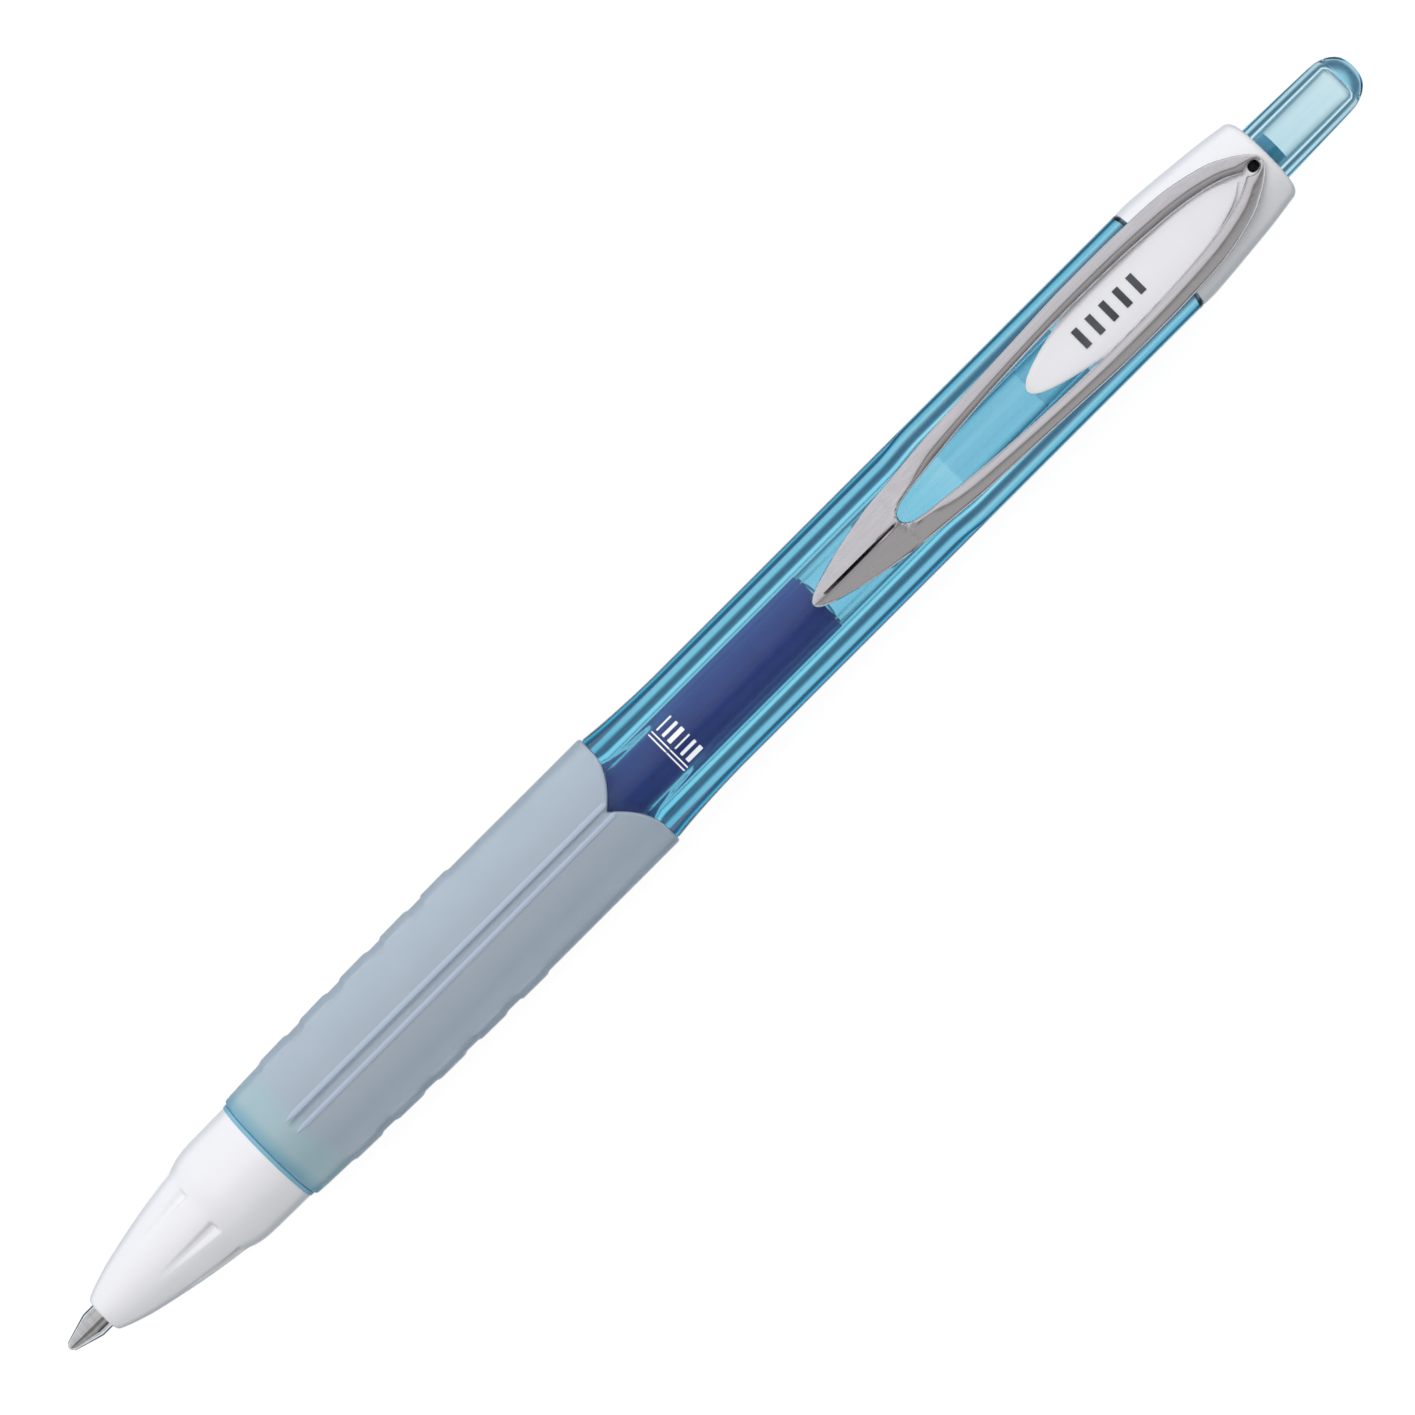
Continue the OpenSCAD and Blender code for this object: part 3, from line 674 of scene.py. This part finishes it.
tongue_half = spline([(106.4, 0.0), (106.6, 0.45), (107.4, 0.95), (109.2, 1.56), (112.0, 2.2),
                      (114.0, 2.5), (118.0, 2.55), (121.0, 2.4), (124.6, 1.95), (128.2, 0.95),
                      (129.7, 0.0)], 8)
tongue_top = spline([(106.4, 5.35), (107.3, 5.72), (110.0, 5.9), (121.0, 5.95), (126.0, 5.55),
                     (129.7, 4.7)], 8)
# Places across the tongue, as shares of its half width, and how far each lies under the crown.
# FOOT marks the places at its foot, on the barrel or inside the collar.
FOOT = 9.0
CROWN_H, CROWN_HALF = 0.1, 2.06     # how much the crown falls at this half width
TONGUE_Y = np.array([-1, -1, -0.985, -0.94, -0.85, -0.6, -0.3, 0,
                     0.3, 0.6, 0.85, 0.94, 0.985, 1, 1, 0.5, 0, -0.5])
TONGUE_DROP = np.array([FOOT, 0.16, 0.09, 0.04, 0.01, 0, 0, 0,
                        0, 0, 0.01, 0.04, 0.09, 0.16, FOOT, FOOT, FOOT, FOOT])


def tongue_mesh():
    """Lens-shaped tongue: crowned top with rounded edges, standing on the barrel."""
    rows = []
    for u, half in tongue_half:
        base = np.interp(u, [121.0, 121.6], [5.03, 4.3])
        half = max(half, 0.002)
        y = half * TONGUE_Y
        crown = np.interp(u, tongue_top[:, 0], tongue_top[:, 1]) - 0.05
        crown = crown - CROWN_H * (y / CROWN_HALF) ** 2
        low = np.sqrt(np.maximum(base ** 2 - y ** 2, 1.0))
        z = np.maximum(crown - TONGUE_DROP * (0.3 + 0.7 * min(1.0, half)), low + 0.02)
        rows.append(np.stack([np.full_like(y, u), y, np.where(TONGUE_DROP == FOOT, low, z)], 1))
    g = np.array(rows)
    n, m = g.shape[:2]
    faces = grid_faces(n, m, False, True) + end_caps(n, m)
    return make("collar_tongue", world(g.reshape(-1, 3)), faces, 40.0)


finish_piece(tongue_mesh(), None, "barrel", WHITE)

# ---------------------------------------------------------------- clip
# Outlines of the clip's half at +y, as (u, y): its outside, and its window with the hole at its
# root.
outer = spline([(82.7, 0.0), (82.85, 0.3), (83.4, 0.66), (84.8, 1.18), (87.7, 1.9), (90.2, 2.36),
                (92.2, 2.6), (97.0, 3.05), (99.8, 3.25), (105.3, 3.5), (109.3, 3.68),
                (112.8, 3.84), (117.0, 3.88), (120.0, 3.84), (124.6, 3.6), (128.2, 2.87),
                (130.0, 2.14), (131.5, 1.2), (132.2, 0.45), (132.3, 0.0)], 10)
inner = spline([(92.2, 0.0), (92.28, 0.32), (92.6, 0.62), (93.2, 0.86), (94.5, 1.08),
                (97.5, 1.42), (101.0, 1.76), (105.3, 2.06), (109.3, 2.24), (112.8, 2.3),
                (117.0, 2.26), (121.0, 2.1), (124.6, 1.8), (127.0, 1.42), (128.8, 0.95),
                (130.0, 0.42), (130.45, 0.2), (130.75, 0.42), (131.2, 0.54), (131.65, 0.45),
                (131.88, 0.22), (131.92, 0.0)], 10)
# Heights over the axis along the clip, as (u, z): its crest and its underside.
height = spline([(82.7, 5.75), (85.5, 6.05), (89.0, 6.5), (95.0, 6.95), (105.0, 7.2),
                 (115.0, 7.2), (121.0, 7.0), (127.0, 6.2), (131.0, 5.15), (132.3, 4.7)], 8)
under = spline([(82.7, 5.4), (85.8, 5.08), (89.0, 5.5), (95.0, 6.1), (105.0, 6.35),
                (115.0, 6.4), (121.0, 6.2), (127.0, 5.4), (131.0, 4.35), (132.3, 4.2)], 8)


def lengths(line):
    """Share of a polyline's length at each of its points."""
    d = np.r_[0, np.cumsum(np.linalg.norm(np.diff(line, axis=0), axis=1))]
    return d / d[-1]


def point_at(line, s):
    """The point of a polyline at a share of its length."""
    d = lengths(line)
    return np.array([np.interp(s, d, line[:, 0]), np.interp(s, d, line[:, 1])])


def share_u(line, u):
    """Share of an outline's length at which it reaches a station."""
    return lengths(line)[int(np.argmax(line[:, 0] >= u))]


def share_y(line, y):
    """Share of an outline's length at which it first reaches a half width."""
    return lengths(line)[int(np.argmax(line[:, 1] >= y))]


# Each rib across the clip joins a point of the outer outline to one of the inner outline.
SLIT_FLOOR, SLIT_TOP = 0.1, 0.13    # half widths of the slit that runs from the tip to the window
pairs = [(0, 0)] + [(share_y(outer, y), share_y(inner, y)) for y in (SLIT_FLOOR, SLIT_TOP, 0.3)]
pairs += [(share_u(outer, a), share_u(inner, b)) for a, b in (
    (87.0, 92.5), (91.0, 92.95), (95.0, 94.6), (98.5, 98.0), (105, 105), (113, 113), (121, 121),
    (126.5, 126.5), (129.5, 129.2), (130.9, 130.4), (131.8, 131.3))]
pairs = np.array(pairs + [(1, 1)])
outer_shares = np.unique(np.r_[pairs[:4, 0], np.linspace(pairs[3, 0], 1, 150),
                               np.linspace(0.86, 1, 50)])
inner_shares = np.interp(outer_shares, pairs[:, 0], pairs[:, 1])
ACROSS = np.array([0, 0.015, 0.04, 0.08, 0.14, 0.22, 0.3, 0.38, 0.44, 0.5, 0.58, 0.68, 0.78, 0.87,
                   0.94, 0.975, 1.0])
CREST, CREST_ROUND = 0.42, 0.22     # crest's place from the window outwards, and its rounding
SLOPE_OUT, SLOPE_IN = 0.36, 0.6
RIM_IN, RIM_FRONT, RIM_OUT = 0.18, 0.14, 0.2    # rounding of the edges, more at the window's front
LIP_H, LIP_AT, LIP_HALF = 0.1, 0.28, 0.16       # raised lip round the window's front
SLIT_DEEP, CLIP_THIN = 0.9, 0.06    # share of the thickness, and what is left at least
HOLE_FROM, HOLE_HALF = 130.2, 0.3   # from here on the crest keeps clear of the hole at the root


def clip_rib(po, pi):
    """One rib across the clip: its top from the window outwards, then its underside back."""
    width = np.linalg.norm(po - pi)
    p = pi[None] + (po - pi)[None] * ACROSS[:, None]
    u, y = p[:, 0], p[:, 1]
    edge_o = np.interp(u, outer[:, 0], outer[:, 1])
    edge_i = np.interp(u, inner[:, 0], inner[:, 1], left=0.0)
    edge_i = np.where(u > HOLE_FROM, HOLE_HALF, edge_i)
    x = y - (edge_i + CREST * (edge_o - edge_i) * smooth(u, 92.0, 98.0))
    front = 1 - smooth(u, 92.4, 96.0)
    z = np.interp(u, height[:, 0], height[:, 1])
    z = z - np.where(x > 0, SLOPE_OUT, SLOPE_IN) * (np.sqrt(x * x + CREST_ROUND ** 2) - CREST_ROUND)
    z = z + LIP_H * np.exp(-((ACROSS * width - LIP_AT) / LIP_HALF) ** 2) * front
    for off, rim in ((ACROSS * width, RIM_IN + RIM_FRONT * front), ((1 - ACROSS) * width, RIM_OUT)):
        k = np.clip(1 - off / rim, 0, 1)
        z = z - rim * (1 - np.sqrt(np.maximum(1 - k * k, 0)))
    slit = 1 - smooth(y, SLIT_FLOOR, SLIT_TOP)
    slit = slit * smooth(u, 84.2, 84.7) * (1 - smooth(u, 91.5, 91.7))
    low = np.interp(u, under[:, 0], under[:, 1])
    z = np.maximum(z - slit * SLIT_DEEP * (z - low), low + CLIP_THIN)
    bottom = np.stack([u, y, low], 1)[::-1]
    bottom[[0, -1], 2] += 0.05
    return np.vstack([np.stack([u, y, z], 1), bottom])


half = np.array([clip_rib(point_at(outer, a), point_at(inner, b))
                 for a, b in zip(outer_shares, inner_shares)])
other = half[1:-1][::-1] * np.array([1, -1, 1])
ring = np.concatenate([half, other])
clip = make("clip_ring", world(ring.reshape(-1, 3)), grid_faces(*ring.shape[:2], True, True), 50.0)
finish_piece(clip, "clip", "clip", SATIN)

# The hook in the collar's pit is near black: painted shade for the hole there.
HOOK_TOP, HOOK_SEG = 3.85, 48
hook_rows = [(HOOK_TOP - 0.7, 0.0), (HOOK_TOP - 0.7, 0.8), (HOOK_TOP - 0.3, 0.88),
             (HOOK_TOP - 0.1, 0.82), (HOOK_TOP - 0.02, 0.6), (HOOK_TOP, 0.0)]
hook_th = np.linspace(0, FULL, HOOK_SEG, endpoint=False)
hook_grid = np.array([np.stack([PIT_AT + k * PIT_LONG * np.cos(hook_th),
                                k * PIT_WIDE * np.sin(hook_th), np.full(HOOK_SEG, z)], 1)
                      for z, k in hook_rows])
hook = make("clip_hook", world(hook_grid.reshape(-1, 3)),
            grid_faces(len(hook_rows), HOOK_SEG, False, True), 40.0)
finish_piece(hook, None, "clip", ROOT_SHADE)

# ---------------------------------------------------------------- button
BUTTON_BORE, BUTTON_END = 1.64, span("push_button")[1]
dome = spline([(140.3, 2.42), (141.1, 2.32), (141.9, 2.02), (142.5, 1.55), (142.85, 0.95),
               (BUTTON_END, 0.0)], 6)
rows = [(121.2, BUTTON_BORE), (121.2, 2.55), (121.3, 2.6), (133.2, 2.63), (136.5, 2.54),
        (140.3, 2.42)]
rows += [(u, max(r, 0.0)) for u, r in dome[1:]]
rows += [(141.35, 0.0), (141.34, 1.1), (141.3, 1.42), (141.15, 1.58), (140.9, BUTTON_BORE)]
cap = turned("button_cap", rows, 160)
finish_piece(cap, "push_button", "button", BUTTON)

# ---------------------------------------------------------------- CAD nodes that keep their shape
for node, mat in (("thrust_cam", CAM_BLUE), ("rotary_cam", CLEAR_PART), ("cam_guide", CLEAR_PART),
                  ("tip_holder", HOLDER), ("tail_plug", PLUG), ("ball_spring", WIRE),
                  ("barrel_mark", PRINT_WHITE), ("collar_mark", PRINT_GREY)):
    paint(frame["nodes"][node], mat)

# ---------------------------------------------------------------- stage, light and camera
# The bounces let light through the barrel, the grip, the tube and back.
scene = bpy.context.scene
scene.view_settings.view_transform = "Standard"
scene.cycles.max_bounces = 24
scene.cycles.transmission_bounces = 20
scene.cycles.glossy_bounces = 6
scene.cycles.diffuse_bounces = 4
scene.cycles.transparent_max_bounces = 12

FLOOR_HALF, FLOOR_GREY, FLOOR_GLOW = 3.0, (0.09, 0.09, 0.093), 0.95


def floor_sheet():
    """A pale floor. It glows, so it is even all over, and takes only a faint shadow."""
    h = FLOOR_HALF
    mesh = bpy.data.meshes.new("floor")
    mesh.from_pydata([(-h, -h, 0), (h, -h, 0), (h, h, 0), (-h, h, 0)], [], [(0, 1, 2, 3)])
    obj = bpy.data.objects.new("floor", mesh)
    scene.collection.objects.link(obj)
    m, _, b = material("floor")
    b.inputs["Base Color"].default_value = (*FLOOR_GREY, 1)
    b.inputs["Roughness"].default_value = 0.9
    b.inputs["Emission Color"].default_value = (1, 1, 1, 1)
    b.inputs["Emission Strength"].default_value = FLOOR_GLOW
    paint(obj, m)
    return obj


floor = floor_sheet()
floor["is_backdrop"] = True
floor.visible_transmission = floor.visible_glossy = floor.visible_diffuse = False


def grey(v, tint=0.0):
    return (v, v, v * (1 + tint))


# Above the floor the studio is lighter on the +Y side, and pale all round near the horizon. Only
# light that has passed through the clear pieces sees its lower half: bright straight down, with
# dark flags beside the pen that draw its edges, and pale towards both ends.
SIDE_PALE, FLAG_SOFT = (0.6, 0.7, 0.78), (0.3, 0.37, 0.42)
FLAG_DARK, FLAG_EDGE = (0.08, 0.17, 0.24), (0.25, 0.36, 0.42)
SKY = [(0.0, grey(0.08)), (0.06, grey(0.14)), (0.12, grey(0.42)), (0.22, grey(0.50)),
       (0.30, grey(0.24)), (0.44, grey(0.24)), (0.50, grey(0.60)), (0.56, grey(0.74)),
       (0.64, grey(0.68, 0.04)), (0.80, grey(0.76, 0.05)), (0.94, grey(0.80, 0.05)),
       (1.0, grey(0.5, 0.05))]
BELOW = [(0.0, SIDE_PALE), (0.18, SIDE_PALE), (0.28, grey(1.05)), (0.49, grey(1.15)),
         (0.58, FLAG_SOFT), (0.66, FLAG_DARK), (0.83, FLAG_DARK), (0.90, FLAG_EDGE),
         (0.945, grey(0.72)), (0.975, grey(0.94)), (1.0, grey(0.94))]
ENDS_PALE, HORIZON_PALE = grey(0.95), grey(0.93)
ENDS_FROM, ENDS_TO = 0.6, 0.8               # |X| of a direction
PALE_TO, SKY_FROM, HORIZON = 0.10, 0.14, 0.01    # Z of a direction

studio = bpy.data.worlds.new("studio")
scene.world = studio
studio.use_nodes = True
wt = studio.node_tree
heading = wt.nodes.new("ShaderNodeTexCoord")
sep = wt.nodes.new("ShaderNodeSeparateXYZ")
wt.links.new(heading.outputs["Generated"], sep.inputs["Vector"])
x_size = wt.nodes.new("ShaderNodeMath")
x_size.operation = "ABSOLUTE"
wt.links.new(sep.outputs["X"], x_size.inputs[0])
z = sep.outputs["Z"]
sky = ramp(wt, remap(wt, sep.outputs["Y"], 0.0, 1.0, -1.0, 1.0), SKY)
sky = mix(wt, remap(wt, z, 0.0, 1.0, PALE_TO, SKY_FROM), HORIZON_PALE, sky)
below = ramp(wt, remap(wt, z, 0.0, 1.0, 0.0, -1.0), BELOW)
below = mix(wt, remap(wt, x_size.outputs[0], 0.0, 1.0, ENDS_FROM, ENDS_TO), below, ENDS_PALE)
all_round = mix(wt, remap(wt, z, 0.0, 1.0, -HORIZON, HORIZON), below, sky)
wt.links.new(all_round, wt.nodes["Background"].inputs["Color"])

KEY_LONG, KEY_WIDE, KEY_POWER = 0.6, 0.3, 2.7
KEY_PLACE, KEY_TILT = (0.0, 0.21, 0.69), math.radians(-17)
key = bpy.data.lights.new("key", "AREA")
key.shape, key.size, key.size_y, key.energy = "RECTANGLE", KEY_LONG, KEY_WIDE, KEY_POWER
key_ob = bpy.data.objects.new("key", key)
key_ob.location = KEY_PLACE
key_ob.rotation_euler = (KEY_TILT, 0, 0)
key_ob.visible_glossy = key_ob.visible_transmission = key_ob.visible_camera = False
scene.collection.objects.link(key_ob)

# The camera looks straight down on the clip's side, turned so that the tip is at the lower left.
ROLL = math.radians(-44.97)
LENS, SENSOR = 200.0, 36.0            # millimetres
FRAME_W, PHOTO_PX = 0.1115, 1415      # metres across the frame, pixels across the photo
SHIFT_PX = 4                          # how far right of the frame's middle the pen's middle lies
cam = bpy.data.cameras.new("camera")
cam.lens, cam.sensor_width = LENS, SENSOR
cam.clip_start, cam.clip_end = 0.05, 20
cam_ob = bpy.data.objects.new("camera", cam)
scene.collection.objects.link(cam_ob)
scene.camera = cam_ob
distance = FRAME_W * LENS / SENSOR
low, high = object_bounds()
right = np.array([math.cos(ROLL), math.sin(ROLL), 0.0])
centre = np.array([(low[0] + high[0]) / 2, 0.0, 0.0]) - right * SHIFT_PX * FRAME_W / PHOTO_PX
cam_ob.location = (centre[0], centre[1], AXIS_Z + distance)
cam_ob.rotation_euler = (0, 0, ROLL)
